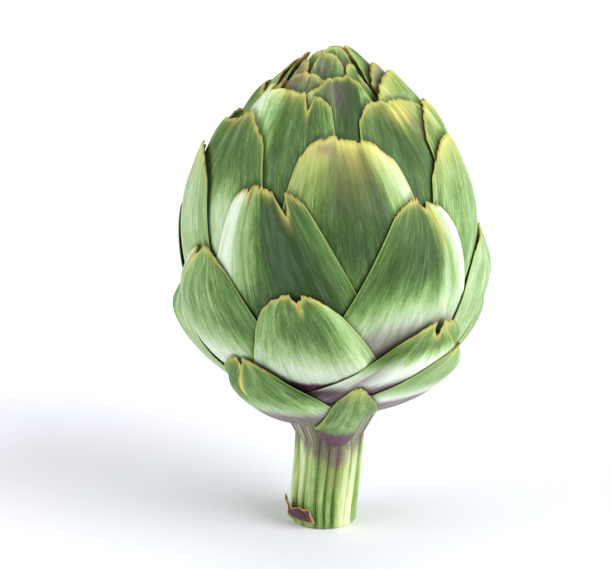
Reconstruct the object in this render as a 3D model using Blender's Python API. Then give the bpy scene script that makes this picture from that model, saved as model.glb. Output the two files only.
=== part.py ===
"""Globe artichoke, fresh: a flat-cut stem, its receptacle and choke, and the overlapping bracts
of the bud. Metres, +Z up, the cut face of the stem on z = 0 and centred on the origin; the
broad bract of the front faces -Y."""
import math

import bpy
import bmesh
import numpy as np
from mathutils import Vector
from mathutils.bvhtree import BVHTree

MM = 0.001
NAME = "artichoke"

# The bud is laid round one point, the heart: every bract is a shell whose distance from the
# heart is set for each direction, the directions being an azimuth and an angle from straight up.
# The stem leans a little, so the bud's own axis stands to the +X side of the cut face.
HEART_Z = 52 * MM
LEAN = 2 * MM
STEM_TOP = 32 * MM
HEART = Vector((LEAN, 0, HEART_Z))
UP = np.array((0, 0, 1))

# Outlines of the bud as (radius, height) in mm: where the tips of the bracts lie, and where
# their bases run in towards the receptacle, the stem and the innermost cone.
BUD_OUTLINE = [
    (11, 32), (16, 35), (22, 39.5), (32, 50), (38.8, 58), (43.4, 67), (46.4, 77), (47.4, 87),
    (47, 98), (45, 110), (41.2, 121), (35.8, 131), (29.4, 139.5), (21.5, 147.5), (12.5, 155),
    (6, 159.5), (0, 161.5)]
BASE_OUTLINE = [
    (11.4, 20), (11.6, 31), (14, 35), (17.5, 41), (20, 47), (20.5, 53), (20.5, 62), (21, 74),
    (22, 88), (22.5, 102), (21.5, 114), (19, 125), (15.5, 135.5), (11, 145), (6, 152.5),
    (0, 158)]

# Outlines of the turned bodies: the stem grown into the receptacle, the choke on top of it, and
# the cone of the innermost bracts, which are pressed together over the choke.
STEM_RADIUS = 11.1
STEM_OUTLINE = [
    (0, 0), (10.4, 0), (11, 0.8), (11.1, 10), (11.1, 20), (11.2, 31), (13.5, 35), (16.9, 41),
    (19.4, 47), (19.9, 52), (19.6, 57), (0, 57)]
CHOKE_OUTLINE = [(0, 57.5), (14.5, 57.5), (14.8, 61), (13, 67), (9.5, 73), (5, 77), (0, 78.5)]
INNER_OUTLINE = [
    (0, 157.5), (5.6, 152), (10.5, 144.5), (15, 135), (18.4, 125), (20.9, 114), (21.9, 102),
    (21.4, 88), (20.5, 74), (19.9, 64), (19.6, 57.5), (15.4, 57.5), (16, 66), (17.4, 88),
    (17.9, 102), (16.9, 113), (14.4, 123), (11, 132), (6, 140), (0, 145)]

# A bract: its cells across and along, its thickness at the base and the tip and, as a share of
# that, at the sides; the place of its greatest breadth and the breadth of its base, as shares.
ACROSS = 6
ALONG = 8
THICK_BASE = 1.2 * MM
THICK_TIP = 0.7 * MM
THICK_SIDE = 0.45
BELLY = 0.55
WAIST = 0.42
CROWN = 0.10

# The angle from straight up at which a bract's base lies, by the angle of its tip.
BASE_RULE = ((0, 10, 25, 45, 60, 70, 85), (82, 86, 95, 103, 110, 120, 130))

# Bracts: azimuth of the tip in degrees (0 is the front, positive to the right), angle of the
# tip from straight up, half width in mm, azimuth by which the base lies to the side of the tip,
# breadth of the tip as a share of the whole; for some, the angle of the base as well, and how
# long the bract keeps to the outline of the bud before it turns in.
FRONT = [
    (-5, 4.4, 9, 0, 0.35), (70, 7.4, 11, 0, 0.3), (-48, 5.6, 10, 0, 0.3), (-24, 9.2, 13, 0, 0.42),
    (64, 10.4, 15, 0, 0.3), (-60, 9.4, 12, 0, 0.3), (9, 10.2, 17, 2, 0.45),
    (-59, 12.8, 15, 0, 0.3), (-27, 13.2, 21, -8, 0.42), (43, 14.6, 22, 0, 0.5),
    (78, 17.6, 21, 0, 0.3), (-88, 17.5, 20, 0, 0.3), (-52, 20, 22, -2, 0.4),
    (8, 22.2, 30, -4, 0.42), (68, 25, 24, 0, 0.3), (-76, 27.5, 25, 4, 0.3),
    (-28, 31, 34, -34, 0.3), (37, 33.4, 31, 4, 0.3), (85, 43, 25, 0, 0.3),
    (-55, 43.8, 28, 0, 0.32), (-12, 50.9, 22.5, -16, 0.42, 89, 4), (47, 60, 18, 26, 0.35, 106),
    (-38, 70.5, 18, -24, 0.35, 124), (60, 69, 15, 28, 0.3, 120)]
BACK = [
    (75, 2.2, 8), (-110, 3.5, 9), (165, 3, 9), (-130, 6.5, 11), (135, 8.5, 13), (-165, 11, 15),
    (-118, 13.5, 17), (110, 14, 18), (158, 16.5, 21), (-160, 20.1, 22), (-125, 23, 23),
    (112, 27, 24), (180, 26.5, 26), (145, 29, 25), (-148, 30.9, 26), (-108, 36, 26),
    (128, 40, 27), (172, 43.5, 27), (-140, 46, 27), (-98, 57, 23), (108, 58, 23),
    (152, 60.2, 23), (-165, 62, 23), (-120, 72, 18), (130, 74, 18), (180, 76, 17), (12, 1.6, 8),
    (32, 6.2, 10), (-32, 3.2, 8)]

# The small bract on the stem below the bud, and the outline that it keeps to.
STEM_BRACT = (17, 81, 9.8, 0, 0.15, 152)
STEM_BRACT_OUTLINE = [(12.2, 24), (13.5, 29), (18, 34), (24, 40), (29, 47), (32, 54), (33, 60)]

# The stub of a torn leaf near the foot: its azimuth and half spread, lower and upper end in mm.
STUB_AZIMUTH = -47
STUB_SPREAD = 34
STUB_LOW = 2.5
STUB_HIGH = 9

# Laying: the gap kept between bracts, the least at their corners, how far a bract may drop from
# the bud's outline to lie on the ones below, and a distance that is outside everything.
GAP = 0.45 * MM
LEAST = 0.35 * MM
DROP = 4 * MM
OUTSIDE = 0.2
SMOOTHING = 3
PASSES = 24
PROBES = 11
CLEAR = 0.02 * MM
LIFT_SHARE = 0.8
FACING = 0.6


def outline(points):
    """Distance from the heart at each angle from straight up, for an outline of (radius, height)."""
    p = np.array(points, float) * MM
    up = p[:, 1] - HEART_Z
    order = np.argsort(np.arctan2(p[:, 0], up))
    angle = np.arctan2(p[:, 0], up)[order]
    reach = np.hypot(p[:, 0], up)[order]
    slope = np.gradient(reach, angle)

    def at(a):
        a = np.clip(a, angle[0], angle[-1])
        i = np.clip(np.searchsorted(angle, a) - 1, 0, len(angle) - 2)
        h = angle[i + 1] - angle[i]
        t = (a - angle[i]) / h
        ends = (1 + 2 * t) * (1 - t) ** 2 * reach[i] + t * t * (3 - 2 * t) * reach[i + 1]
        return ends + t * (1 - t) * h * ((1 - t) * slope[i] - t * slope[i + 1])
    return at


bud = outline(BUD_OUTLINE)
inner = outline(BASE_OUTLINE)


def ease(a, b, x):
    """Smooth step from 0 at a to 1 at b."""
    t = np.clip((x - a) / (b - a), 0, 1)
    return t * t * (3 - 2 * t)


def stem_lean(z):
    """How far the stem has leant towards +X at a height."""
    return LEAN * float(ease(0, STEM_TOP, z))


def raise_by(lift, corners, share, short):
    """Note the least rise of a triangle's corners that lifts a point inside it by short."""
    total = sum(k * k for k in share)
    for c, k in zip(corners, share):
        lift[c] = max(lift[c], LIFT_SHARE * short * k / total)


class Laid:
    """Everything laid so far, asked how far it reaches from the heart in a direction."""

    def __init__(self):
        self.verts = []
        self.faces = []
        self.tree = None

    def add(self, bm):
        start = len(self.verts)
        bm.verts.index_update()
        self.verts += [v.co.copy() for v in bm.verts]
        self.faces += [[start + v.index for v in f.verts] for f in bm.faces]
        self.tree = BVHTree.FromPolygons(self.verts, self.faces)

    def reach(self, d):
        floor = float(inner(math.acos(max(-1, min(1, d.z)))))
        if self.tree is None:
            return floor
        hit = self.tree.ray_cast(HEART + d * OUTSIDE, -d, OUTSIDE)[0]
        return floor if hit is None else max(floor, (hit - HEART).length)

    def lift_over_corners(self, place, corners):
        """How much each corner of a sheet must rise for the corners below it to stay clear."""
        lift = np.zeros(len(place))
        if self.tree is None:
            return lift
        below = np.array(self.verts) - HEART
        far = np.linalg.norm(below, axis=1)
        below /= far[:, None]
        mean = place.mean(axis=0)
        near = below @ (mean / np.linalg.norm(mean)) > FACING
        sheet = BVHTree.FromPolygons([Vector(p) for p in place], corners)
        for row, r in zip(below[near], far[near]):
            hit, _, face, distance = sheet.ray_cast(Vector((0, 0, 0)), Vector(row), OUTSIDE)
            if hit is not None and distance < r + LEAST:
                share = np.linalg.solve(place[corners[face]].T, np.array(hit))
                raise_by(lift, corners[face], share, r + LEAST - distance)
        return lift

    def lift_over_faces(self, place, corners):
        """How much each corner of a sheet must rise for its faces to stay clear of all below."""
        lift = np.zeros(len(place))
        steps = range(PROBES + 1)
        shares = [np.array((a, b, PROBES - a - b)) / PROBES
                  for a in steps for b in steps if a + b <= PROBES]
        for corner in corners:
            for share in shares:
                p = Vector(share @ place[corner])
                short = self.reach(p.normalized()) + GAP - p.length
                if short > 0:
                    raise_by(lift, corner, share, short)
        return lift


class Bract:
    """A bract over a grid of u, from -1 to 1 across it, and s, from 0 at the base to 1."""

    def __init__(self, azimuth, tip, half_width, lean=0, blunt=0.3, base=None, turn_in=2.2,
                 path=None):
        if base is None:
            base = np.interp(tip, *BASE_RULE)
        self.tip = math.radians(tip)
        self.base = math.radians(base)
        self.half_width = half_width * MM
        self.lean = math.radians(lean)
        self.blunt = blunt
        self.turn_in = turn_in
        self.path = path
        a = math.radians(azimuth)
        self.out = np.array((math.sin(a), -math.cos(a), 0))
        self.side = np.array((math.cos(a), math.sin(a), 0))

    def nominal(self, angle):
        """Distance of the outer face from the heart where nothing pushes it out."""
        if self.path:
            return self.path(angle)
        x = np.clip((angle - self.tip) / (self.base - self.tip), 0, 1)
        sunk = 0.5 * x + 0.5 * x ** self.turn_in
        return bud(angle) * (1 - sunk) + inner(angle) * sunk

    def directions(self, u, s):
        """Directions over the bract, and their angles from straight up."""
        s = s - CROWN * np.abs(u) ** 2.4 * s ** 6
        angle = self.base + (self.tip - self.base) * s
        swell = WAIST + (1 - WAIST) * np.sin(np.pi / 2 * np.clip(s / BELLY, 0, 1)) ** 1.3
        taper = 1 - (1 - self.blunt) * np.clip((s - BELLY) / (1 - BELLY), 0, 1) ** 2.6
        width = self.half_width * np.where(s < BELLY, swell, taper)
        turn = -self.lean * (1 - s) * np.sin(angle) + u * width / self.nominal(angle)
        d = ((np.cos(turn) * np.sin(angle))[..., None] * self.out
             + (np.cos(turn) * np.cos(angle))[..., None] * UP
             + np.sin(turn)[..., None] * self.side)
        return d, np.arccos(np.clip(d[..., 2], -1, 1))

    def shell(self, laid):
        """Closed shell: an inner sheet lifted clear of what lies below, and an outer one."""
        bm = bmesh.new()
        bmesh.ops.create_grid(bm, x_segments=ACROSS, y_segments=ALONG, size=1)
        bmesh.ops.triangulate(bm, faces=bm.faces[:])
        bm.verts.index_update()
        u = np.array([v.co.x for v in bm.verts])
        s = np.array([(v.co.y + 1) / 2 for v in bm.verts])
        corners = [[v.index for v in f.verts] for f in bm.faces]
        ring = [[e.other_vert(v).index for e in v.link_edges] for v in bm.verts]
        d, angle = self.directions(u, s)
        thick = THICK_BASE + (THICK_TIP - THICK_BASE) * s
        thick *= 1 - (1 - THICK_SIDE) * np.abs(u) ** 2.5
        reach = self.settle(laid, u, s, self.nominal(angle) - thick, d, ring)
        for _ in range(PASSES):
            place = d * reach[:, None]
            lift = np.maximum(laid.lift_over_corners(place, corners),
                              laid.lift_over_faces(place, corners))
            reach += lift
            if lift.max() < CLEAR:
                break
        for v, row, r in zip(bm.verts, d, reach):
            v.co = HEART + Vector(row) * r
        thicken(bm, thick, lambda co: co - HEART)
        return bm

    def settle(self, laid, u, s, far, d, ring):
        """Distance of the inner sheet: the sides and the tip drop on to what lies below."""
        near = np.array([laid.reach(Vector(row)) for row in d]) + GAP
        sides = 0.85 * ease(0.3, 1, np.abs(u)) * (1 - ease(0.8, 1, s))
        hug = np.maximum(sides, 0.3 * ease(0.8, 1, s))
        reach = far - np.minimum(np.maximum(far - near, 0) * hug, DROP)
        for _ in range(SMOOTHING):
            reach = np.maximum(reach, near)
            reach = 0.5 * reach + 0.5 * np.array([reach[r].mean() for r in ring])
        return np.maximum(reach, near)


def thicken(bm, thick, way):
    """Close a sheet into a shell by a copy of it, moved out by a thickness at each corner."""
    depth = bm.verts.layers.float.new("depth")
    for v, t in zip(bm.verts, thick):
        v[depth] = t
    copy = bmesh.ops.extrude_face_region(bm, geom=bm.faces[:], use_keep_orig=True)["geom"]
    for v in (g for g in copy if isinstance(g, bmesh.types.BMVert)):
        v.co += way(v.co).normalized() * v[depth]
    bmesh.ops.recalc_face_normals(bm, faces=bm.faces[:])


def turned(points, segments):
    """Solid of revolution from an outline of (radius, height) in mm, both ends on the axis."""
    bm = bmesh.new()
    ring = [bm.verts.new((r * MM, 0, z * MM)) for r, z in points]
    edges = [bm.edges.new(pair) for pair in zip(ring, ring[1:])]
    bmesh.ops.spin(bm, geom=ring + edges, axis=(0, 0, 1), cent=(0, 0, 0), dvec=(0, 0, 0),
                   angle=2 * math.pi, steps=segments, use_merge=True)
    bmesh.ops.remove_doubles(bm, verts=bm.verts, dist=MM / 1000)
    for v in bm.verts:
        v.co.x += stem_lean(v.co.z)
    bmesh.ops.recalc_face_normals(bm, faces=bm.faces[:])
    return bm


def leaf_stub():
    """What is left of a torn leaf: a flake that leaves the stem towards its upper end."""
    bm = bmesh.new()
    bmesh.ops.create_grid(bm, x_segments=6, y_segments=3, size=1)
    thick = []
    for v in bm.verts:
        u, s = v.co.x, (v.co.y + 1) / 2
        a = math.radians(STUB_AZIMUTH + u * STUB_SPREAD * (1 - 0.3 * s))
        r = STEM_RADIUS * MM + GAP + (0.1 + 2.6 * s * s * (1 - 0.5 * u * u)) * MM
        z = (STUB_LOW + (STUB_HIGH - STUB_LOW) * s * (1 - 0.25 * u)) * MM
        v.co = Vector((stem_lean(z) + r * math.sin(a), -r * math.cos(a), z))
        thick.append((1.5 - 0.7 * s) * MM)
    thicken(bm, thick, lambda co: Vector((co.x, co.y, 0)))
    bmesh.ops.triangulate(bm, faces=bm.faces[:])
    return bm


def material(name, colour, roughness):
    m = bpy.data.materials.new(name)
    m.use_nodes = True
    shader = m.node_tree.nodes["Principled BSDF"]
    shader.inputs["Base Color"].default_value = (*colour, 1)
    shader.inputs["Roughness"].default_value = roughness
    return m


def add(name, bm, colour, roughness=0.5):
    mesh = bpy.data.meshes.new(name)
    bm.to_mesh(mesh)
    bm.free()
    mesh.materials.append(material(name, colour, roughness))
    ob = bpy.data.objects.new(name, mesh)
    bpy.data.collections[NAME].objects.link(ob)


for ob in list(bpy.data.objects):
    bpy.data.objects.remove(ob)
bpy.context.scene.collection.children.link(bpy.data.collections.new(NAME))

add("stem", turned(STEM_OUTLINE, 24), (0.62, 0.68, 0.36))
add("choke", turned(CHOKE_OUTLINE, 16), (0.75, 0.72, 0.55), 0.9)
add("inner_bud", turned(INNER_OUTLINE, 20), (0.62, 0.66, 0.38))

laid = Laid()
bracts = sorted((Bract(*row) for row in FRONT + BACK), key=lambda bract: bract.tip)
for number, bract in enumerate(bracts, 1):
    shell = bract.shell(laid)
    laid.add(shell)
    add("bract_%02d" % number, shell, (0.30, 0.42, 0.20))

on_stem = Bract(*STEM_BRACT, path=outline(STEM_BRACT_OUTLINE))
add("stem_bract", on_stem.shell(laid), (0.34, 0.45, 0.22))
add("leaf_stub", leaf_stub(), (0.16, 0.09, 0.10), 0.7)
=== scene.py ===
"""Looks of the globe artichoke: bracts, inner cone, choke, stem, stem bract and leaf stub, built
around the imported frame. Metres, +Z up, front towards -Y."""
import math

import bpy
import numpy as np
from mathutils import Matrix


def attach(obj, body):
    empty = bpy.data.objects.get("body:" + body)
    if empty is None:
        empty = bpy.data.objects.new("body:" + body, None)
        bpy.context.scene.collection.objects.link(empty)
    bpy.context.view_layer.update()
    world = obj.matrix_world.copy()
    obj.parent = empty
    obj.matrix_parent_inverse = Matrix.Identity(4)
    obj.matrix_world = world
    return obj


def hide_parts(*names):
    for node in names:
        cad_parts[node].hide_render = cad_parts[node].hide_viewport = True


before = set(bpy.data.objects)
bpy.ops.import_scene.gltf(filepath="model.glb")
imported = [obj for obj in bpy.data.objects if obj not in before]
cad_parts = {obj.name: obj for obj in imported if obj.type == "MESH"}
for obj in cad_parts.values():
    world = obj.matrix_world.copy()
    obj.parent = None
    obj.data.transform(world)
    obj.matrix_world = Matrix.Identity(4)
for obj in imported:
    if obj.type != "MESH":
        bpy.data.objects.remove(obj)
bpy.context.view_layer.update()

MM = 0.001
HEART_Z = 52 * MM
LEAN = 2 * MM
HEART = np.array((LEAN, 0, HEART_Z))
UP = np.array((0.0, 0.0, 1.0))
STEM_TOP = 32 * MM

# Outlines as (radius, height) in mm: the tips of the bracts, and their bases inside the bud.
BUD_OUTLINE = [
    (11, 32), (18, 33.5), (29, 38), (38.5, 47.5), (46.5, 57), (51.8, 66), (54.2, 76.5),
    (54.6, 87), (53.5, 98.5), (50.6, 111), (45, 122.5), (38.2, 133), (30.2, 142),
    (21.6, 150), (13.8, 155.5), (7.4, 158.8), (0, 160.5)]
BASE_OUTLINE = [
    (11.4, 20), (11.6, 31), (14, 35), (17.5, 41), (20, 47), (20.5, 53), (20.5, 62), (21, 74),
    (22, 88), (22.5, 102), (22, 114), (20.5, 126), (18.2, 136), (15.2, 144), (11.6, 150.5),
    (7.5, 155.3), (3.8, 157.7), (0, 158.4)]
STEM_BRACT_OUTLINE = [(12.2, 24), (13.5, 29), (18, 34), (24, 40), (29, 47), (32, 54), (33, 60)]
TURN_RULE = ((35, 60, 70), (1.45, 2.0, 2.5))
BASE_RULE = ((0, 10, 25, 45, 60, 70, 85), (82, 86, 95, 103, 110, 120, 130))

GAP = 0.12 * MM
DROP = 8 * MM
THICK_BASE = 1.2 * MM
THICK_MID = 1.3 * MM
THICK_TIP = 0.7 * MM
EDGE_SHARE = 0.4
FRONT_GRID = (97, 121)
BACK_GRID = (61, 81)
STEM_BRACT_GRID = (81, 81)
STEM_BRACT_SEED = 70

# How a bract is laid: the parts of its half breadth and of its length over which it comes down to
# what is below, how closely it does so at the tip, and how often the sheet is smoothed.
MARGIN_PART = (0.35, 0.95)
TIP_PART = (0.78, 1)
TIP_HUG = 0.95
ROUNDS = 5
FLARE_PART = (0.8, 1)
THINNEST = 0.3 * MM

# Unevenness of a bract: heights in mm, and sizes of its cells in mm, across and along.
SWELL_HEIGHT = 0.28
SWELL_SIZE = (9, 14)
RIB_HEIGHT = 0.07
RIB_SIZE = (1.5, 28)
STREAK_SIZE = (0.8, 9)
PATCH_SIZE = (6, 14)

# Ragged edge of the tip: depth in mm, cells from the middle to the margin, share of the finer ones.
RAGGED_DEPTH = 0.25
RAGGED_CELLS = 24
FRAYED_CELLS = 60
FRAYED_SHARE = 0.6

# Breadths in mm of what runs along the margins and the tip.
RIM_AT_MARGIN = 0.5
RIM_AT_TIP = 0.8
DRY_AT_TIP = 0.45
DRY_AT_MARGIN = 0.22

# The part of the half breadth over which the wax and the painted side light go from the middle's to
# a side's
SIDE_PART = (0.05, 0.85)

# wax bloom with painted light: sides paler where the side lamps fall, a darker middle facing the
# front
# Marks of a bract, u running from -1 to 1 across it and s from 0 at the base to 1 at the tip:
#   waist   breadth at the base, as a share of the greatest
#   belly   the s at which it is broadest
#   fall    power of the taper from there to the tip
#   crown   how far the corners of the tip lie below its middle, as a share of the length
#   cuts    notches of the tip, as (u, half width in u, depth in mm)
#   folds   creases, as (u, half width in u, height in mm, from s, to s)
#   flare   how far the tip stands off, in mm
#   snug    how closely the middle follows what is below, from 0 to 1
#   wax  how pale it is at its left, middle, right and low end, from 0, deep green, to 1, white
#   low     the s at which that low end is full, and at which it starts
#   purple  strength at the base, and the s at which it is full and at which it ends
#   blush   strength of the purple-brown over the upper part
#   gold    depth of the yellow band at the tip, in mm
#   gold_to the u up to which that band is at its full strength
#   spots   patches as (u, s, half width in mm, half length in mm, colour), with the colour
#           gold, brown, purple or dark; dark spots join the painted shade of the edges
# A bract has these where its row of the plan says nothing else. Its wax and painted light follow
# from its number.
USUAL = dict(waist=0.42, belly=0.52, fall=2.3, crown=0.06, cuts=(), folds=(), flare=0, snug=0,
             low=(0.4, 0.72), purple=(0.5, 0.2, 0.4), blush=0, gold=0.8, gold_to=0.35, spots=())


def bract(name, azimuth, tip, half_width, lean=0, blunt=0.45, base=None, turn_in=None, **marks):
    """One row of the plan. Angles in degrees, half_width in mm; tip and base are angles from
    straight up, lean the azimuth by which the base lies to the side of the tip."""
    if base is None:
        base = float(np.interp(tip, *BASE_RULE))
    if turn_in is None:
        turn_in = float(np.interp(tip, *TURN_RULE))
    return dict(USUAL, name=name, azimuth=azimuth, tip=tip, half_width=half_width, lean=lean,
                blunt=blunt, base=base, turn_in=turn_in, **marks)


# The bracts at the front and at the sides
FRONT = [
    bract("h", -5, 4.4, 9.5, 0, 0.6, blush=1, spots=((-0.3, 0.95, 3, 6, "purple"),)),
    bract("i", 70, 7.4, 12.5, 0, 0.6, blush=0.7, flare=1, wax=(0.5, 0.5, 0.6, 0.5)),
    bract("c", -48, 5.6, 10, 0, 0.55, blush=0.8, gold=1.2),
    bract("e", -24, 8.6, 14, 0, 0.66, wax=(0.35, 0.35, 0.4, 0.3), blush=0.9,
          spots=((0.1, 0.97, 4, 3, "purple"), (-0.3, 0.93, 3, 3, "purple"))),
    bract("j", 64, 10.4, 18, 0, 0.62, flare=1.5, gold=2.5, wax=(0.5, 0.55, 0.6, 0.5)),
    bract("d", -64, 9.4, 15, 0, 0.6, blush=0.6, flare=1, wax=(0.6, 0.6, 0.5, 0.4)),
    bract("g", 9, 10.2, 18.5, 2, 0.66, fall=3.0, crown=0.035, wax=(0.5, 0.28, 0.7, 0.3),
          folds=((0.3, 0.05, -0.4, 0.7, 1),), gold=0.6,
          spots=((-0.25, 0.955, 4.5, 4.5, "purple"), (0.1, 0.93, 3, 8, "dark"),
                 # the thin dark spot at u 0.3 is painted shade in the crease of the fold there
                 (0.3, 0.91, 0.8, 8, "dark"))),
    bract("f", -60, 12.8, 17, 0, 0.6, flare=1, wax=(0.4, 0.45, 0.5, 0.5), blush=0.9,
          spots=((0.3, 0.96, 2, 5, "purple"), (-0.2, 0.93, 1, 6, "purple"))),
    bract("l", -26, 13.2, 23, -16, 0.44, fall=3.0, crown=0.03, wax=(1.0, 0.2, 0.3, 0.2),
          gold=1.2, cuts=((0.4, 0.12, 4), (-0.55, 0.05, 2)),
          folds=((-0.32, 0.05, -0.6, 0.6, 1),)),
    bract("m", 41.5, 14.0, 23, 0, 0.46, fall=2.8, crown=0.045, wax=(0.2, 0.2, 0.5, 0.1),
          cuts=((0.25, 0.2, 0.4),), gold=1.4,
          spots=((0.3, 0.965, 5, 3.5, "gold"), (0.5, 0.91, 2, 3, "purple"))),
    bract("k", 78, 17.6, 23, 0, 0.55, gold=2.5, wax=(0.4, 0.5, 0.6, 0.6)),
    bract("t", -88, 17.5, 22, 0, 0.5, flare=1.7, wax=(0.5, 0.5, 0.45, 0.5),
          spots=((0.2, 0.98, 2, 2, "gold"),)),
    bract("s", -54, 20.0, 24, -6, 0.44, fall=2.8, wax=(0.45, 0.26, 0.25, 0.85), low=(0.74, 0.9),
          crown=0.04, cuts=((-0.3, 0.1, 1),), spots=((-0.3, 0.985, 1, 2, "brown"),)),
    bract("n", 7, 22.2, 32.5, -20, 0.33, fall=2.4, crown=0.035, wax=(0.52, 0.0, 0.86, 0.46),
          gold=3.2, gold_to=0.9, cuts=((0.3, 0.1, 0.5), (-0.5, 0.1, 0.6)), low=(0.6, 0.75),
          spots=((0.0, 0.99, 9, 2.2, "gold"), (-0.5, 0.965, 3, 1.4, "purple"))),
    bract("q", 66, 25.0, 24, 0, 0.4, fall=2.4, wax=(0.45, 0.55, 0.7, 0.8), gold=2.5),
    bract("r", -76, 27.5, 26, 4, 0.42, flare=1.5, fall=2.2, wax=(0.75, 0.72, 0.6, 0.9), gold=1.6),
    bract("o", -26.5, 31.0, 38.5, -44, 0.23, fall=1.6, wax=(1.04, -0.06, 0.26, 0.06),
          low=(0.6, 0.75), crown=0.03, cuts=((0.35, 0.2, 4.2), (-0.6, 0.08, 0.8)),
          folds=((-0.5, 0.025, -0.3, 0.9, 1.1),),
          spots=((-0.5, 0.97, 0.6, 3, "brown"), (0.3, 0.95, 1.2, 2.5, "gold"))),
    bract("p", 37.5, 33.2, 34, 12, 0.2, fall=1.5, crown=0.04, wax=(0.26, 0.12, 1.1, 0.88),
          low=(0.6, 0.8), purple=(0.7, 0.56, 0.68), cuts=((0.2, 0.25, 1.6),),
          folds=((0.42, 0.03, -0.3, 0.8, 1.1), (0.52, 0.04, 0.3, 0.8, 1.1)),
          spots=((0.45, 0.95, 1.2, 6, "gold"), (0.3, 0.87, 0.35, 2.5, "brown"))),
    bract("v", 85, 43, 25, 0, 0.35, wax=(0.7, 0.62, 0.6, 0.9)),
    bract("u", -54, 43.8, 32, 0, 0.15, fall=2.2, wax=(0.95, 0.5, 0.36, 0.95), low=(0.5, 0.72),
          cuts=((-0.3, 0.2, 2),), folds=((-0.3, 0.03, -0.3, 0.85, 1.1),),
          spots=((-0.32, 0.94, 0.7, 5, "gold"), (-0.4, 0.97, 0.5, 3, "brown"))),
    bract("w", -12.5, 50.9, 25.5, -18, 0.36, 87, 3, belly=0.3, fall=2.3, waist=0.55, crown=0.09,
          cuts=((0.0, 0.22, 2.2), (-0.6, 0.1, 0.8)), wax=(0.55, 0.24, 0.6, 1.0),
          low=(0.32, 0.74), folds=((0.0, 0.03, -0.3, 0.85, 1.1),), purple=(1.3, 0.2, 0.28),
          spots=((0.0, 0.94, 1.0, 2.8, "gold"), (0.02, 0.87, 0.5, 2.0, "gold"),
                 (0.0, 0.9, 0.3, 2.5, "brown"))),
    bract("x", 46, 60, 34.5, 42, 0.24, 111, 1.9, belly=0.55, fall=1.9, waist=0.5,
          cuts=((0.05, 0.2, 3.5),), wax=(0.3, 0.3, 0.5, 1.15), low=(0.74, 0.87),
          purple=(1.1, 0.62, 0.72),
          # the dark spot is painted shade in the recess below w
          spots=((-0.8, 0.6, 8, 4, "dark"), (-0.6, 0.74, 5, 3.5, "purple"),
                 (0.35, 0.96, 0.8, 3, "gold"))),
    bract("y", -37.5, 70.5, 23.5, -22, 0.28, 128, 2.5, belly=0.45, waist=0.4,
          wax=(0.45, 0.36, 0.35, 0.85), low=(0.56, 0.78), purple=(0.9, 0.5, 0.66),
          cuts=((-0.1, 0.14, 2),), spots=((-0.1, 0.84, 0.7, 4, "gold"),
                                          (-0.15, 0.96, 0.7, 2, "gold"))),
    bract("x2", 54.5, 69, 23, 46, 0.25, 114, 2.2, waist=0.6, belly=0.5, fall=1.9,
          wax=(0.6, 0.55, 0.7, 1.1), low=(0.6, 0.8), purple=(0.9, 0.58, 0.66))]

# Bracts of the crown behind the apex, drawn close to each other
CROWN = [
    bract("b01", 75, 2.2, 8.5, 0, 0.5, snug=0.5), bract("b02", -120, 4.3, 9, 0, 0.4, snug=0.4),
    bract("b03", 165, 3, 11, 0, 0.5, snug=0.5), bract("b04", -130, 6.5, 15, 0, 0.5, snug=0.2),
    bract("b05", 132, 8.5, 20, 0, 0.55, snug=0.4), bract("b06", -165, 11, 20, 0, 0.55, snug=0.4)]

# The other bracts, at the back and at the very top, without marks of their own
BACK = [
    ("b07", -118, 13.5, 24, 0, 0.6), ("b08", 110, 14, 25, 0, 0.6), ("b09", 158, 16.5, 23),
    ("b10", -160, 20.1, 22), ("b11", -125, 23, 23), ("b12", 112, 27, 24),
    ("b13", 180, 26.5, 26), ("b14", 145, 29, 25), ("b15", -148, 30.9, 26), ("b16", -108, 36, 26),
    ("b17", 128, 40, 27), ("b18", 172, 43.5, 27), ("b19", -140, 46, 27), ("b20", -98, 57, 23),
    ("b21", 108, 58, 23), ("b22", 152, 60.2, 23), ("b23", -165, 62, 23), ("b24", -120, 72, 20),
    ("b25", 130, 74, 20), ("b26", 180, 76, 19), ("b27", 12, 1.6, 9), ("b28", 32, 6.2, 10.5),
    ("b29", -32, 3.2, 8)]

STEM_BRACT = bract("z", 11.5, 78.5, 9.6, 0, 0.2, 147, belly=0.4, waist=0.7, fall=2, crown=0.1,
                   wax=(0.4, 0.52, 0.5, 0.6), low=(0.2, 0.45), purple=(1.1, 0.24, 0.42),
                   gold=1.8)


def ease(a, b, x):
    t = np.clip((x - a) / (b - a), 0, 1)
    return t * t * (3 - 2 * t)


def outline(points):
    """Distance from the heart at each angle from straight up, along (radius, height) points."""
    p = np.array(points, float) * MM
    up = p[:, 1] - HEART_Z
    order = np.argsort(np.arctan2(p[:, 0], up))
    angle = np.arctan2(p[:, 0], up)[order]
    reach = np.hypot(p[:, 0], up)[order]
    slope = np.gradient(reach, angle)

    def at(a):
        a = np.clip(a, angle[0], angle[-1])
        i = np.clip(np.searchsorted(angle, a) - 1, 0, len(angle) - 2)
        h = angle[i + 1] - angle[i]
        t = (a - angle[i]) / h
        ends = (1 + 2 * t) * (1 - t) ** 2 * reach[i] + t * t * (3 - 2 * t) * reach[i + 1]
        return ends + t * (1 - t) * h * ((1 - t) * slope[i] - t * slope[i + 1])
    return at


bud = outline(BUD_OUTLINE)
inner = outline(BASE_OUTLINE)
stem_path = outline(STEM_BRACT_OUTLINE)


def shifted(a, step, axis):
    """The grid moved by step cells along an axis, its border repeated."""
    index = np.clip(np.arange(a.shape[axis]) - step, 0, a.shape[axis] - 1)
    return np.take(a, index, axis=axis)


def widen(a, n):
    """Highest value within n cells."""
    for axis in (0, 1):
        a = np.max([shifted(a, k, axis) for k in range(-n, n + 1)], axis=0)
    return a


def blur(a, n):
    """Mean over n cells each way, taken twice."""
    for axis in (0, 1, 0, 1):
        a = np.mean([shifted(a, k, axis) for k in range(-n, n + 1)], axis=0)
    return a


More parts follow.
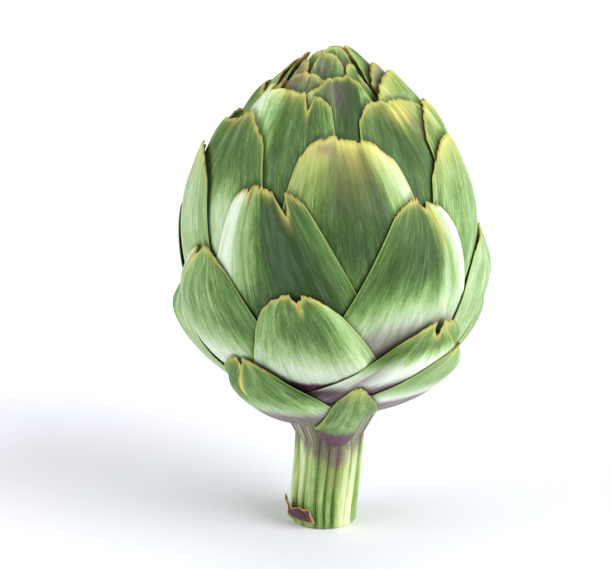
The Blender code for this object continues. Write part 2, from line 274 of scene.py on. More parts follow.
def noise(rng, x, y):
    """Smooth noise between -1 and 1, with cells of size 1, over points at or above zero."""
    lattice = rng.uniform(-1, 1, (int(np.max(x)) + 3, int(np.max(y)) + 3))
    i, j = np.floor(x).astype(int), np.floor(y).astype(int)
    a, b = ease(0, 1, x - i), ease(0, 1, y - j)
    low = lattice[i, j] * (1 - a) + lattice[i + 1, j] * a
    high = lattice[i, j + 1] * (1 - a) + lattice[i + 1, j + 1] * a
    return low * (1 - b) + high * b


class Bract:
    """A bract laid on the bud: a sheet over a grid of u, across, and s, from base to tip."""

    def __init__(self, plan, grid, seed, path=None):
        self.plan = plan
        self.path = path
        self.rng = np.random.default_rng(seed)
        self.seed = seed
        self.tip = math.radians(plan["tip"])
        self.base = math.radians(plan["base"])
        self.lean = math.radians(plan["lean"])
        self.half_width = plan["half_width"] * MM
        a = math.radians(plan["azimuth"])
        self.out = np.array((math.sin(a), -math.cos(a), 0))
        self.side = np.array((math.cos(a), math.sin(a), 0))
        # Columns lie closer together at the margins, and rows at the tip
        x = np.linspace(-1, 1, grid[0])
        y = np.linspace(0, 1, grid[1])
        self.u = 1.22 * x - 0.22 * x ** 3
        self.s = 1 - (1 - y) ** 1.2
        self.length = abs(self.base - self.tip) * float(np.mean(self.nominal(self.angle(self.s))))

    def angle(self, s):
        return self.base + (self.tip - self.base) * s

    def nominal(self, angle):
        if self.path:
            return self.path(angle)
        x = np.clip((angle - self.tip) / (self.base - self.tip), 0, 1)
        sunk = x ** self.plan["turn_in"]
        return bud(angle) * (1 - sunk) + inner(angle) * sunk

    def half(self, s):
        """Half of the breadth at s, in metres."""
        waist, belly, fall, blunt = [self.plan[key] for key in ("waist", "belly", "fall", "blunt")]
        swell = waist + (1 - waist) * np.sin(np.pi / 2 * np.clip(s / belly, 0, 1)) ** 1.3
        taper = 1 - (1 - blunt) * np.clip((s - belly) / (1 - belly), 0, 1) ** fall
        return self.half_width * np.where(s < belly, swell, taper)

    def directions(self, u, s):
        angle = self.angle(s)
        turn = -self.lean * (1 - s) * np.sin(angle) + u * self.half(s) / self.nominal(angle)
        return ((np.cos(turn) * np.sin(angle))[..., None] * self.out
                + (np.cos(turn) * np.cos(angle))[..., None] * UP
                + np.sin(turn)[..., None] * self.side)

    def lay(self, laid):
        """Settle how far the sheet lies from the heart, over all that is laid already."""
        u, s = np.meshgrid(self.u, self.s, indexing="ij")
        d = self.directions(u, s)
        polar = np.arccos(np.clip(d[..., 2], -1, 1))
        thick = np.where(s < 0.5, THICK_BASE + (THICK_MID - THICK_BASE) * s * 2,
                         THICK_MID + (THICK_TIP - THICK_MID) * (s * 2 - 1))
        thick = thick * (1 - (1 - EDGE_SHARE) * np.abs(u) ** 3)
        below = inner(polar)
        for other in laid:
            below = np.maximum(below, other.reach(d))
        near = np.maximum(blur(widen(below, 1), 1), below) + GAP
        far = self.nominal(polar) - thick
        snug = self.plan["snug"]
        hug = np.maximum(ease(*MARGIN_PART, np.abs(u)), TIP_HUG * ease(*TIP_PART, s))
        hug = np.maximum(hug, snug)
        under = far - np.minimum(np.maximum(far - near, 0) * hug, DROP * (1 + snug))
        for _ in range(ROUNDS):
            under = np.maximum(blur(under, 2), near)
        under = under + self.plan["flare"] * MM * ease(*FLARE_PART, s)
        self.under = under
        self.over = under + np.maximum(thick + self.relief(u, s), THINNEST)

    def uneven(self, size, u, s):
        """Smooth noise between -1 and 1 over the bract, its cells of a size across and along."""
        across = (u + 1) * self.half_width / MM
        along = s * self.length / MM
        return noise(self.rng, across / size[0], along / size[1])

    def relief(self, u, s):
        """Unevenness of the outer face: slow swells, ribs along the bract and creases."""
        swell = SWELL_HEIGHT * self.uneven(SWELL_SIZE, u, s)
        ribs = RIB_HEIGHT * self.uneven(RIB_SIZE, u, s)
        relief = swell * ease(0, 0.3, 1 - np.abs(u)) + ribs * ease(0, 0.1, 1 - np.abs(u))
        for place, breadth, height, start, end in self.plan["folds"]:
            on = ease(start, start + 0.15, s) * (1 - ease(end - 0.1, end + 0.1, s))
            relief = relief + height * on * np.exp(-((u - place) / breadth) ** 2)
        return relief * MM

    def reach(self, d):
        """How far the sheet reaches in each direction, or zero beside it."""
        turn = np.arcsin(np.clip(d @ self.side, -1, 1))
        angle = np.arctan2(d @ self.out, d[..., 2])
        s = (self.base - angle) / (self.base - self.tip)
        on = np.clip(s, 0, 1)
        across = self.half(on) / self.nominal(self.angle(on))
        u = (turn + self.lean * (1 - on) * np.sin(self.angle(on))) / across
        inside = (np.abs(u) < 1.02) & (s > -0.01) & (s < self.end(np.clip(u, -1, 1)) + 0.01)
        column = np.interp(u, self.u, np.arange(len(self.u)))
        row = np.interp(on, self.s, np.arange(len(self.s)))
        i = np.minimum(column.astype(int), len(self.u) - 2)
        j = np.minimum(row.astype(int), len(self.s) - 2)
        a, b = column - i, row - j
        low = self.over[i, j] * (1 - a) + self.over[i + 1, j] * a
        high = self.over[i, j + 1] * (1 - a) + self.over[i + 1, j + 1] * a
        return np.where(inside, low * (1 - b) + high * b, 0)

    def end(self, u):
        """The s at which the bract ends, across it: a crown with the notches cut out of it."""
        end = 1 - self.plan["crown"] * np.abs(u) ** 2.9
        for place, breadth, depth in self.plan["cuts"]:
            cut = np.clip(1 - np.abs(u - place) / breadth, 0, 1) ** 0.8
            end = end - cut * depth * MM / self.length
        return end

    def sheet(self):
        """Grids of u and s of the finished bract, with both faces' distance from the heart."""
        coarse = np.random.default_rng(self.seed + 500)
        fine = np.random.default_rng(self.seed + 600)
        ragged = noise(coarse, (self.u + 1) * RAGGED_CELLS, self.u * 0)
        ragged = ragged + FRAYED_SHARE * noise(fine, (self.u + 1) * FRAYED_CELLS, self.u * 0)
        end = self.end(self.u) - RAGGED_DEPTH * MM / self.length * (1 + ragged)
        u, s = np.meshgrid(self.u, self.s, indexing="ij")
        s = s - (1 - end)[:, None] * s ** 5
        over = np.array([np.interp(row, self.s, r) for row, r in zip(s, self.over)])
        under = np.array([np.interp(row, self.s, r) for row, r in zip(s, self.under)])
        return u, s, over, under, end

    def marks(self, u, s, end):
        """Masks over the sheet: wax with painted side light and shade, gold and dry brown, then
        purple, yellow rim and dark green.
        """
        plan = self.plan
        tip = (end[:, None] - s) * self.length / MM
        edge = (1 - np.abs(u)) * self.half(s) / MM
        # Wax with painted light: paler at the sides the side lamps light, darker at the middle
        # facing the front
        sway = 0.1 * math.sin(2.4 * self.seed)
        plain = (0.55 + sway, 0.34, 0.55 - sway, 0.8 + sway)
        left, middle, right, low = plan.get("wax", plain)
        across = (u + 1) * self.half_width / MM
        along = s * self.length / MM
        streak = self.uneven(STREAK_SIZE, u, s)
        patch = self.uneven(PATCH_SIZE, u, s)
        aside = u + 0.12 * patch
        wax = middle + (left - middle) * ease(*SIDE_PART, -aside)
        wax = wax + (right - middle) * ease(*SIDE_PART, aside)
        wax = wax + (low - wax) * (1 - ease(*plan["low"], s + 0.02 * streak))
        wax = wax + 0.06 * streak + 0.08 * patch
        middle_part = 1 - 0.85 * ease(plan["gold_to"], 1, np.abs(u))
        gold = np.exp(-np.maximum(tip, 0) / plan["gold"]) * middle_part
        gold = gold * (0.8 + 0.4 * patch)
        rim = 0.75 * np.exp(-(edge / RIM_AT_MARGIN) ** 2) * (0.8 + 0.4 * patch)
        rim = np.maximum(rim, 0.8 * np.exp(-(tip / RIM_AT_TIP) ** 2))
        dry = np.exp(-(tip / DRY_AT_TIP) ** 2) * np.clip(0.7 + 0.7 * streak, 0, 1)
        dry_margin = 0.8 * np.exp(-(edge / DRY_AT_MARGIN) ** 2) * ease(0, 0.5, patch)
        dry = np.maximum(dry, dry_margin * ease(0.7, 1, s))
        strength, full, fade = plan["purple"]
        purple = strength * (1 - ease(full, fade, s + 0.015 * streak))
        blush = plan["blush"] * ease(0.3, 0.9, 0.5 + 0.5 * patch + 0.2 * streak)
        purple = np.maximum(purple, 0.85 * blush * ease(0.76, 0.97, s))
        dark = np.zeros_like(u)
        for centre, at, breadth, length, colour in plan["spots"]:
            off = np.hypot((u - centre) * self.half(s) / MM / breadth,
                           (s - at) * self.length / MM / length)
            spot = 0.9 * np.exp(-off ** 2) * (0.8 + 0.4 * streak)
            gold = np.maximum(gold, spot * (colour == "gold"))
            dry = np.maximum(dry, spot * (colour == "brown"))
            purple = np.maximum(purple, 0.8 * spot * (colour == "purple"))
            # dark spots lower the wax and join the painted shade
            wax = wax - 0.4 * spot * (colour == "dark")
            dark = np.maximum(dark, spot * (colour == "dark"))
        place = np.stack((across, along, np.full_like(u, self.seed * 3.7)), -1)
        return {"place": place,
                "finish": np.stack((wax, gold, dry), -1),
                "stain": np.stack((purple, np.clip(rim, 0, 1), dark), -1)}

    def shade(self, d, later):
        """Painted shade: 1 along the edges of the bracts that lie on this one, fading over a few
        mm.
        """
        covered = np.zeros(d.shape[:2])
        for other in later:
            covered = np.maximum(covered, other.reach(d) > 0)
        return ease(0, 0.55, blur(covered, 1))

    def build(self, name, later):
        u, s, over, under, end = self.sheet()
        d = self.directions(u, s)
        marks = self.marks(u, s, end)
        # Painted shade under the edges of the bracts above, kept in the third place of the stain
        marks["stain"][..., 2] = np.maximum(marks["stain"][..., 2], self.shade(d, later))
        return shell(name, HEART + d * over[..., None], HEART + d * under[..., None], marks)


def shell(name, outer, inside, marks):
    """Closed piece from two grids of points, with the marks of the outer one on both."""
    columns, rows = outer.shape[:2]
    count = columns * rows
    index = np.arange(count).reshape(columns, rows)
    quads = np.stack((index[:-1, :-1], index[1:, :-1], index[1:, 1:], index[:-1, 1:]), -1)
    quads = quads.reshape(-1, 4)
    loop = np.concatenate((index[:, 0], index[-1, 1:], index[-2::-1, -1], index[0, -2::-1]))
    a, b = loop[:-1], loop[1:]
    faces = np.concatenate((quads, quads[:, ::-1] + count,
                            np.stack((b, a, a + count, b + count), -1)))
    points = np.concatenate((outer.reshape(-1, 3), inside.reshape(-1, 3)))
    data = {key: np.concatenate((m.reshape(-1, 3),) * 2) for key, m in marks.items()}
    return piece(name, points, faces.tolist(), data)


def piece(name, points, faces, marks):
    mesh = bpy.data.meshes.new(name)
    mesh.from_pydata(points.tolist(), [], faces)
    mesh.shade_smooth()
    for key, values in marks.items():
        layer = mesh.attributes.new(key, "FLOAT_VECTOR", "POINT")
        layer.data.foreach_set("vector", values.astype(np.float32).ravel())
    ob = bpy.data.objects.new(name, mesh)
    bpy.context.scene.collection.objects.link(ob)
    return ob


# Materials

class Nodes:
    """A material's nodes, made one line at a time."""

    def __init__(self, name, **finish):
        self.material = bpy.data.materials.new(name)
        self.material.use_nodes = True
        self.tree = self.material.node_tree
        self.shader = self.tree.nodes["Principled BSDF"]
        for socket, value in finish.items():
            self.shader.inputs[socket.replace("_", " ")].default_value = value

    def add(self, kind, inputs=None, **settings):
        node = self.tree.nodes.new("ShaderNode" + kind)
        for key, value in settings.items():
            setattr(node, key, value)
        for key, value in (inputs or {}).items():
            self.feed(node.inputs[key], value)
        return node.outputs[0]

    def feed(self, socket, value):
        if isinstance(value, bpy.types.NodeSocket):
            self.tree.links.new(value, socket)
        else:
            socket.default_value = value

    def math(self, operation, *values, clamp=False):
        node = self.add("Math", dict(enumerate(values)), operation=operation)
        node.node.use_clamp = clamp
        return node

    def mix(self, share, a, b, blend="MIX"):
        node = self.tree.nodes.new("ShaderNodeMix")
        node.data_type = "RGBA"
        node.blend_type = blend
        self.feed(node.inputs["Factor"], share)
        for socket, value in ((node.inputs[6], a), (node.inputs[7], b)):
            self.feed(socket, (*value, 1) if isinstance(value, tuple) else value)
        return node.outputs[2]

    def parts(self, attribute):
        vector = self.add("Attribute", attribute_name=attribute)
        vector = vector.node.outputs["Vector"]
        split = self.add("SeparateXYZ", {0: vector})
        return vector, [split.node.outputs[k] for k in range(3)]

    def grain(self, vector, across, along, detail=3.0, roughness=0.6):
        """Noise drawn out along the piece; across and along are its cells per mm."""
        stretched = self.add("VectorMath", {0: vector, 1: (across, along, 1)},
                             operation="MULTIPLY")
        return self.add("TexNoise", {"Vector": stretched, "Scale": 1.0, "Detail": detail,
                                     "Roughness": roughness})

    def ladder(self, value, steps):
        """Colour that goes through the steps, each a place between 0 and 1 and a colour."""
        node = self.add("ValToRGB", {0: value}).node
        ramp = node.color_ramp
        while len(ramp.elements) < len(steps):
            ramp.elements.new(0.5)
        for element, (at, colour) in zip(ramp.elements, steps):
            element.position = at
            element.color = (*colour, 1)
        return node.outputs[0]

    def ramp(self, value, low, high):
        node = self.add("MapRange", {"Value": value, "From Min": low, "From Max": high},
                        interpolation_type="SMOOTHSTEP")
        return node


# Colours, linear
DEEP = (0.022, 0.056, 0.008)
GREEN = (0.075, 0.165, 0.030)
LIGHT = (0.23, 0.39, 0.12)
PALE = (0.46, 0.62, 0.34)
PALE_WAX_AND_LIGHT = (0.76, 0.86, 0.70)
BLOOM = (0.26, 0.36, 0.26)
GOLD = (0.84, 0.73, 0.19)
RIM = (0.48, 0.56, 0.14)
DRY = (0.24, 0.085, 0.02)
PURPLE = (0.13, 0.045, 0.10)
OLIVE = (0.22, 0.22, 0.05)
STALK = ((0.0, (0.06, 0.13, 0.02)), (0.3, (0.17, 0.29, 0.06)), (0.6, (0.42, 0.54, 0.20)),
         (1.0, (0.72, 0.80, 0.46)))
# Ladder of a bract's tone; its pale end stands for wax and for painted light on the lit sides
SKIN = ((0.0, DEEP), (0.28, GREEN), (0.52, LIGHT), (0.76, PALE), (1.0, PALE_WAX_AND_LIGHT))
PITH = ((0.3, (0.42, 0.46, 0.20)), (0.7, (0.66, 0.68, 0.42)))
DOWN = ((0.3, (0.52, 0.44, 0.26)), (0.7, (0.84, 0.80, 0.62)))
STUB = ((0.35, (0.035, 0.010, 0.022)), (0.65, (0.13, 0.05, 0.06)))
STUB_BROWN = (0.20, 0.10, 0.04)
STUB_TORN = (0.50, 0.26, 0.08)
STUB_FOOT = (0.34, 0.38, 0.14)
FLOOR = (0.84, 0.845, 0.91, 1)

# Grain of a bract, as cells per mm across and along it
FIBRE = (4.6, 0.42)
THREAD = (9.0, 1.6)
VEIN = (2.0, 0.03)
BROAD = (0.8, 0.08)
MOTTLE = (0.35, 0.22)
DULL = (0.28, 0.16)
FLECK = (1.1, 0.8)

# The same of the stem, the down of the choke and the stub
STEM_FIBRE = (2.2, 0.07)
STEM_THREAD = (6.0, 0.5)
STEM_MOTTLE = (0.4, 0.22)
STEM_FLECK = (0.9, 0.5)
HAIR = (3.0, 0.3)
STUB_FIBRE = (2.5, 0.35)
STUB_MOTTLE = (0.7, 0.5)


def leaf_material(name):
    n = Nodes(name, Specular_IOR_Level=0.3)
    place, _ = n.parts("place")
    _, (wax, gold, dry) = n.parts("finish")
    _, (stain, rim, shade) = n.parts("stain")
    fibre = n.grain(place, *FIBRE)
    thread = n.grain(place, *THREAD, detail=2.0)
    vein = n.grain(place, *VEIN, detail=2.0)
    broad = n.grain(place, *BROAD)
    mottle = n.grain(place, *MOTTLE, detail=4.0)
    # The tone starts from the wax, with its painted side light and painted shade
    tone = wax
    calm = n.add("MapRange", {"Value": wax, "From Min": 0.5, "To Min": 1.0, "To Max": 0.7})
    for texture, share in ((fibre, 0.6), (thread, 0.5), (broad, 0.35), (mottle, 0.55)):
        swing = n.math("MULTIPLY", n.math("SUBTRACT", texture, 0.5), calm)
        tone = n.math("MULTIPLY_ADD", swing, share, tone)
    tone = n.math("MULTIPLY_ADD", n.ramp(vein, 0.6, 0.72), 0.22, tone)
    # Painted shade under the edges of the bracts above darkens the tone
    tone = n.math("MULTIPLY_ADD", shade, -0.12, n.math("ADD", tone, -0.04))
    colour = n.ladder(tone, SKIN)
    dull = n.ramp(n.grain(place, *DULL), 0.45, 0.75)
    dull = n.math("MULTIPLY", dull, n.ramp(wax, 1.3, 0.5))
    colour = n.mix(n.math("MULTIPLY", dull, 0.13), colour, BLOOM)
    golden = n.math("MULTIPLY", gold, n.ramp(mottle, 0.1, 0.45), clamp=True)
    colour = n.mix(golden, colour, GOLD)
    veil = n.math("MULTIPLY_ADD", n.ramp(fibre, 0.3, 0.62), 0.35, 0.65)
    colour = n.mix(n.math("MULTIPLY", stain, veil, clamp=True), colour, PURPLE)
    fleck = n.grain(place, *FLECK, detail=2.0)
    colour = n.mix(n.math("MULTIPLY", n.ramp(fleck, 0.68, 0.78), 0.3), colour, DRY)
    # Painted shade: a mix towards deep green under the edges of the bracts above and in the dark
    # spots
    colour = n.mix(n.math("MULTIPLY", shade, 0.5), colour, DEEP)
    colour = n.mix(rim, colour, RIM)
    browned = n.math("MULTIPLY", dry, n.ramp(mottle, 0.2, 0.55), clamp=True)
    colour = n.mix(browned, colour, DRY)
    n.feed(n.shader.inputs["Base Color"], colour)
    rough = n.add("MapRange", {"Value": fibre, "From Min": 0.3, "From Max": 0.7,
                               "To Min": 0.42, "To Max": 0.62})
    n.feed(n.shader.inputs["Roughness"], rough)
    height = n.math("ADD", n.math("MULTIPLY", fibre, 0.7), n.math("MULTIPLY", thread, 0.45))
    height = n.math("ADD", height, n.math("MULTIPLY", mottle, 0.5))
    bump = n.add("Bump", {"Height": height, "Strength": 0.5, "Distance": 0.2 * MM})
    n.feed(n.shader.inputs["Normal"], bump)
    return n.material


def finish(ob, material, slot, *nodes):
    ob.data.materials.append(material)
    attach(ob, "root")
    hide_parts(*nodes)


LEAF = leaf_material("bract_skin")

# Bracts, innermost first

plans = [(plan, FRONT_GRID) for plan in FRONT + CROWN] + [(bract(*row), BACK_GRID) for row in BACK]
plans.sort(key=lambda entry: entry[0]["tip"])
laid = []
for number, (plan, grid) in enumerate(plans, 1):
    layer = Bract(plan, grid, number)
    layer.lay(laid)
    laid.append(layer)
on_stem = Bract(STEM_BRACT, STEM_BRACT_GRID, STEM_BRACT_SEED, path=stem_path)
on_stem.lay(laid)

for number, layer in enumerate(laid, 1):
    node = "bract_%02d" % number
    finish(layer.build(node + "_leaf", laid[number:] + [on_stem]), LEAF, "bract", node)
finish(on_stem.build("stem_bract_leaf", []), LEAF, "bract", "stem_bract")


def ring(turn, cells):
    """Places in the noise's cells round a turned piece, turn running from 0 to 1."""
    return turn * (cells + 1) % cells


def lean(z):
    """How far the stem has leant towards +X at a height."""
    return LEAN * ease(0, STEM_TOP, z)


def turned(name, r, z, marks):
    """Closed body from grids of radius and height in mm: columns go round, and rows run from one
    pole to the other, up the outside. It stands on the axis of the stem."""
    columns, rows = r.shape
    a = (np.arange(columns) / columns * 2 * math.pi)[:, None]
    z = z * MM
    points = np.stack((r * MM * np.sin(a) + lean(z), -r * MM * np.cos(a), z), -1)
    poles = points[:1, (0, -1)][0]
    index = np.arange(columns * (rows - 2)).reshape(columns, rows - 2)
    index = np.vstack((index, index[:1]))
    quads = np.stack((index[:-1, :-1], index[1:, :-1], index[1:, 1:], index[:-1, 1:]), -1)
    first, last = index.max() + 1, index.max() + 2
    faces = quads.reshape(-1, 4).tolist()
    faces += [(first, j, i) for i, j in zip(index[:-1, 0].tolist(), index[1:, 0].tolist())]
    faces += [(last, i, j) for i, j in zip(index[:-1, -1].tolist(), index[1:, -1].tolist())]
    data = {}
    for key, values in marks.items():
        body = values[:, 1:-1].reshape(-1, 3)
        data[key] = np.concatenate((body, values[0, (0, -1)]))
    return piece(name, np.concatenate((points[:, 1:-1].reshape(-1, 3), poles)), faces, data)


def profile(points, counts):
    """Radii and heights along an outline of (radius, height), with so many steps per stretch."""
    r, z = np.array(points, float).T
    reach = np.concatenate(((0,), np.cumsum(np.hypot(np.diff(r), np.diff(z)))))
    steps = [np.linspace(a, b, n, endpoint=False) for a, b, n in zip(reach, reach[1:], counts)]
    t = np.concatenate(steps + [reach[-1:]])
    return np.interp(t, reach, r), np.interp(t, reach, z)


# Stem with its receptacle, its cut face down: the heights in mm at which the ribs end and at which
# the purple collar starts, and the azimuth of a scar in degrees

STEM_OUTLINE = [
    (0, 0), (10.4, 0), (11, 0.7), (11.2, 10), (11.2, 20), (11.3, 31), (13.5, 35), (16.9, 41),
    (19.4, 47), (19.9, 52), (19.6, 57), (0, 57)]
STEM_STEPS = (26, 6, 24, 24, 26, 8, 6, 6, 6, 6, 8)
STEM_COLUMNS = 420
RIBS = 17
RIBS_END = (33, 40)
COLLAR = (24.5, 30.5)
SCAR = 13


def stem():
    rng = np.random.default_rng(11)
    r, z = profile(STEM_OUTLINE, STEM_STEPS)
    turn = np.arange(STEM_COLUMNS) / STEM_COLUMNS
    turn, r = np.meshgrid(turn, r, indexing="ij")
    z = np.broadcast_to(z, turn.shape)
    a = turn * 2 * math.pi
    drift = 0.35 * np.sin(2 * math.pi * z / 60 + 2 * a) + 0.7 * np.sin(3 * a) + 0.5 * np.sin(8 * a)
    rib = np.abs(np.sin(turn * RIBS * math.pi + drift)) ** 0.6
    fine = noise(rng, ring(turn, 129), z / 14)
    side = ease(0.3, 2.5, z) * (1 - ease(*RIBS_END, z)) * (r > 9)
    r = r + side * (0.75 * rib - 0.6 + 0.10 * fine)
    face = (z < 0.01) & (r < 10)
    z = z + face * 0.25 * ease(9.5, 7, r) * (0.6 + 0.4 * noise(rng, ring(turn, 23), r / 1.6))
    degrees = (np.degrees(a) + 180) % 360 - 180
    tongue = noise(rng, ring(turn, 45), z / 9)
    broad = noise(rng, ring(turn, 8), z / 22)
    purple = ease(*COLLAR, z + 3.5 * tongue + 2.5 * broad) * (z < 45)
    scar = np.exp(-((degrees - SCAR) / (5 + 0.55 * z)) ** 2)
    purple = np.maximum(purple * 0.8, 0.8 * scar * ease(20, 24, z + tongue))
    olive = scar * ease(9, 18, z) * (0.7 + 0.3 * tongue)
    # Darker at random and at the low front; lighter at 42 degrees, a painted highlight on the side
    # towards the right lamp
    deep_and_painted_highlight = 0.5 + 0.5 * broad + 0.8 * ease(16, 4, z) * np.exp(-((degrees + 5) / 28) ** 2)
    deep_and_painted_highlight = deep_and_painted_highlight + 0.35 * np.exp(-((degrees - 2) / 16) ** 2) - np.exp(-((degrees - 42) / 12) ** 2)
    cut = ((r < 10.6) & (z < 0.5)).astype(float)
    place = np.stack((a * 11, np.where(cut > 0, r, z), np.full_like(a, 5.0)), -1)
    first = np.stack((rib, np.clip(purple, 0, 1), np.clip(olive, 0, 1)), -1)
    second = np.stack((np.clip(deep_and_painted_highlight, -0.5, 1.4), cut, np.zeros_like(r)), -1)
    return turned("stem_body", r, z, {"place": place, "finish": first, "stain": second})


def stem_material():
    n = Nodes("stem_skin", Roughness=0.5, Specular_IOR_Level=0.35)
    place, _ = n.parts("place")
    _, (rib, purple, olive) = n.parts("finish")
    _, (deep_and_painted_highlight, cut, _) = n.parts("stain")
    fibre = n.grain(place, *STEM_FIBRE)
    thread = n.grain(place, *STEM_THREAD, detail=2.0)
    mottle = n.grain(place, *STEM_MOTTLE, detail=4.0)
    tone = n.math("MULTIPLY_ADD", rib, 0.55, 0.18)
    # Darker with the stem's dark patches, lighter at the painted highlight on its right side
    tone = n.math("MULTIPLY_ADD", deep_and_painted_highlight, -0.42, tone)
    for texture, share in ((fibre, 1.0), (thread, 0.25), (mottle, 0.3)):
        tone = n.math("MULTIPLY_ADD", n.math("SUBTRACT", texture, 0.5), share, tone)
    tone = n.math("ADD", tone, 0.22)
    colour = n.ladder(tone, STALK)
    colour = n.mix(n.math("MULTIPLY", olive, n.ramp(mottle, 0.2, 0.6)), colour, OLIVE)
    stained = n.math("MULTIPLY", purple, n.ramp(fibre, 0.28, 0.56), clamp=True)
    colour = n.mix(stained, colour, PURPLE)
    fleck = n.grain(place, *STEM_FLECK, detail=2.0)
    colour = n.mix(n.math("MULTIPLY", n.ramp(fleck, 0.66, 0.76), 0.35), colour, DRY)
    pith = n.add("TexNoise", {"Vector": place, "Scale": 2.5, "Detail": 4.0})
    colour = n.mix(cut, colour, n.ladder(pith, PITH))
    n.feed(n.shader.inputs["Base Color"], colour)
    height = n.math("ADD", fibre, n.math("MULTIPLY", thread, 0.4))
    bump = n.add("Bump", {"Height": height, "Strength": 0.55, "Distance": 0.3 * MM})
    n.feed(n.shader.inputs["Normal"], bump)
    return n.material


finish(stem(), stem_material(), "stem", "stem")

# Cone of the innermost bracts, pressed together over the choke

CONE_INSIDE = [
    (0, 145), (6, 140), (11, 132), (14.4, 123), (16.9, 113), (17.9, 102), (17.4, 88), (16, 66),
    (15.4, 57.5)]
CONE_OUTSIDE = [
    (19.4, 57.5), (19.7, 64), (20.3, 74), (21.2, 88), (21.7, 102), (21.1, 114), (19.5, 126),
    (17.2, 136), (14.3, 143.8), (10.8, 149.8), (6.8, 154.4), (3.5, 156.8), (0, 157.5)]
CONE_STEP = 7
CONE_COLUMNS = 220
PLEATS = 11
PLEAT_DEPTH = 0.9


def cone():
    r, z = profile(CONE_INSIDE + CONE_OUTSIDE,
                   [CONE_STEP] * (len(CONE_INSIDE) + len(CONE_OUTSIDE) - 1))
    turn = np.arange(CONE_COLUMNS) / CONE_COLUMNS
    turn, r = np.meshgrid(turn, r, indexing="ij")
    z = np.broadcast_to(z, turn.shape)
    outside = np.arange(r.shape[1]) >= CONE_STEP * len(CONE_INSIDE)
    saw = (turn * PLEATS + (z - 57) / 60) % 1
    r = r - outside * ease(0, 4, r) * PLEAT_DEPTH * saw ** 3
    place = np.stack((turn * 120, z, np.full_like(r, 91.0)), -1)
    # Darker towards the sunken edge of each pleat: painted shade in the pleat's step
    wax = 0.75 - 0.2 * saw
    dry = 0.3 * np.exp(-((1 - saw) / 0.05) ** 2)
    still = np.zeros_like(r)
    first = np.stack((wax, 0.3 * ease(145, 154, z), dry), -1)
    second = np.stack((0.25 * ease(120, 150, z), 0.5 * (saw > 0.94), still), -1)
    return turned("inner_bud_cone", r, z, {"place": place, "finish": first, "stain": second})


finish(cone(), LEAF, "inner_bud", "inner_bud")

# Choke, a dome of fine down

CHOKE_OUTLINE = [(0, 57.6), (14.3, 57.6), (14.6, 61), (13, 67), (9.5, 73), (5, 77), (0, 78.3)]
CHOKE_STEPS = (6, 8, 14, 14, 12, 8)
CHOKE_COLUMNS = 240


def choke():
    rng = np.random.default_rng(12)
    r, z = profile(CHOKE_OUTLINE, CHOKE_STEPS)
    turn = np.arange(CHOKE_COLUMNS) / CHOKE_COLUMNS
    turn, r = np.meshgrid(turn, r, indexing="ij")
    z = np.broadcast_to(z, turn.shape)
    down = noise(rng, ring(turn, 119), z / 1.2) * (z > 58) * ease(0, 3, r)
    r = r - 0.35 * (1 + down)
    place = np.stack((turn * 90, z, r), -1)
    return turned("choke_down", r, z, {"place": place})


def choke_material():
    n = Nodes("choke_down", Roughness=0.9, Sheen_Weight=0.5)
    place, _ = n.parts("place")
    hair = n.grain(place, *HAIR)
    n.feed(n.shader.inputs["Base Color"], n.ladder(hair, DOWN))
    bump = n.add("Bump", {"Height": hair, "Strength": 0.6, "Distance": 0.3 * MM})
    n.feed(n.shader.inputs["Normal"], bump)
    return n.material


finish(choke(), choke_material(), "choke", "choke")

# What is left of a torn leaf near the foot of the stem

STUB_AZIMUTH = -47
STUB_SPREAD = 33
STUB_LOW = 2.6
STUB_HIGH = 8.6
STUB_STEM_RADIUS = 11.3
STUB_GAP = 0.25
STUB_THICK = 1.1
STUB_GRID = (71, 41)


def stub():
    rng = np.random.default_rng(13)
    u = np.linspace(-1, 1, STUB_GRID[0])
    u, s = np.meshgrid(u, np.linspace(0, 1, STUB_GRID[1]), indexing="ij")
    ragged = 0.16 * noise(rng, (u + 1) * 4, s * 0) + 0.08 * noise(rng, (u + 1) * 14, s * 0)
    t = s * (1 - 0.28 * (u + 0.3) + ragged * ease(0.5, 1, s))
    a = np.radians(STUB_AZIMUTH + u * STUB_SPREAD * (1 - 0.3 * s))
    crumple = 0.22 * noise(rng, (u + 1) * 5, s * 5) + 0.08 * noise(rng, (u + 1) * 16, s * 4)
    bulge = 0.1 + 3.0 * s * s * (1 - 0.6 * (u + 0.25) ** 2)
    r = STUB_STEM_RADIUS + STUB_GAP + (bulge + crumple * ease(0, 0.5, s))
    z = STUB_LOW + (STUB_HIGH - STUB_LOW) * t
    thick = STUB_THICK - 0.7 * s
    thick = thick * (1 - 0.55 * np.abs(u) ** 4)
    way = np.stack((np.sin(a), -np.cos(a), 0 * a), -1)
    foot = np.stack((lean(z * MM), 0 * z, z * MM), -1)
    outer = foot + way * ((r + thick) * MM)[..., None]
    inside = foot + way * (r * MM)[..., None]
    place = np.stack((u * 6, s * 6, np.full_like(u, 31.0)), -1)
    edge = np.minimum((1 - s) * 6, (1 - np.abs(u)) * 6)
    first = np.stack((edge, crumple, s), -1)
    return shell("leaf_stub_flake", outer, inside, {"place": place, "finish": first})


def stub_material():
    n = Nodes("stub_skin", Roughness=0.6, Specular_IOR_Level=0.3)
    place, _ = n.parts("place")
    _, (edge, crumple, along) = n.parts("finish")
    fibre = n.grain(place, *STUB_FIBRE)
    mottle = n.grain(place, *STUB_MOTTLE, detail=4.0)
    colour = n.ladder(fibre, STUB)
    colour = n.mix(n.math("MULTIPLY", n.ramp(mottle, 0.5, 0.7), 0.5), colour, STUB_BROWN)
    torn = n.ramp(n.math("MULTIPLY_ADD", mottle, -1.6, n.math("ADD", edge, 0.3)), 0.25, -0.35)
    colour = n.mix(torn, colour, STUB_TORN)
    low = n.ramp(n.math("MULTIPLY_ADD", mottle, 0.3, along), 0.36, 0.1)
    colour = n.mix(low, colour, STUB_FOOT)
    n.feed(n.shader.inputs["Base Color"], colour)
    bump = n.add("Bump", {"Height": n.math("ADD", fibre, mottle), "Strength": 0.6,
                          "Distance": 0.3 * MM})
    n.feed(n.shader.inputs["Normal"], bump)
    return n.material


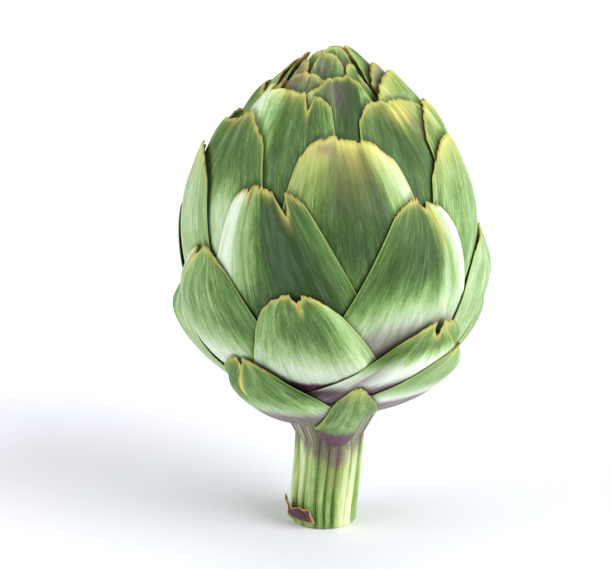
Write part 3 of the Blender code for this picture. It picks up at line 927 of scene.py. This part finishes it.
finish(stub(), stub_material(), "stub", "leaf_stub")

# Floor, light and camera; angles in degrees

WORLD_LIGHT = 0.32
FLOOR_SIZE = 12
CAMERA_PLACE = (2 * MM, -550 * MM, 235 * MM)
CAMERA_PITCH = 15.64
CAMERA_TURN = 0.817
CAMERA_LENS = 103.87

bpy.ops.mesh.primitive_plane_add(size=FLOOR_SIZE, location=(0, 2, 0))
floor = bpy.context.object
floor.name = "floor"
n = Nodes("floor_white", Roughness=0.6, Specular_IOR_Level=0.2)
n.shader.inputs["Base Color"].default_value = FLOOR
floor.data.materials.append(n.material)

world = bpy.data.worlds.new("studio")
bpy.context.scene.world = world
world.use_nodes = True
backdrop = world.node_tree.nodes["Background"]
seen = world.node_tree.nodes.new("ShaderNodeLightPath").outputs["Is Camera Ray"]
level = world.node_tree.nodes.new("ShaderNodeMapRange")
level.inputs["To Min"].default_value = WORLD_LIGHT
level.inputs["To Max"].default_value = 1.0
world.node_tree.links.new(seen, level.inputs["Value"])
world.node_tree.links.new(level.outputs[0], backdrop.inputs["Strength"])
backdrop.inputs["Color"].default_value = (1, 1, 1, 1)
bpy.context.scene.view_settings.view_transform = "Standard"


def softbox(name, azimuth, elevation, strength, breadth, colour=(1, 1, 1)):
    """Even light from one side; azimuth as for the bracts, angles in degrees."""
    data = bpy.data.lights.new(name, "SUN")
    data.energy = strength
    data.angle = math.radians(breadth)
    data.color = colour
    ob = bpy.data.objects.new(name, data)
    bpy.context.scene.collection.objects.link(ob)
    ob.rotation_euler = (math.radians(90 - elevation), 0, math.radians(azimuth))


softbox("right", 62, 30, 3.3, 50)
softbox("left", -75, 25, 1.6, 55)
softbox("top", 160, 75, 1.0, 60)

camera = bpy.data.objects.new("camera", bpy.data.cameras.new("camera"))
camera.data.sensor_width = 36
camera.data.lens = CAMERA_LENS
camera.location = CAMERA_PLACE
camera.rotation_euler = (math.radians(90 - CAMERA_PITCH), 0, math.radians(CAMERA_TURN))
bpy.context.scene.collection.objects.link(camera)
bpy.context.scene.camera = camera
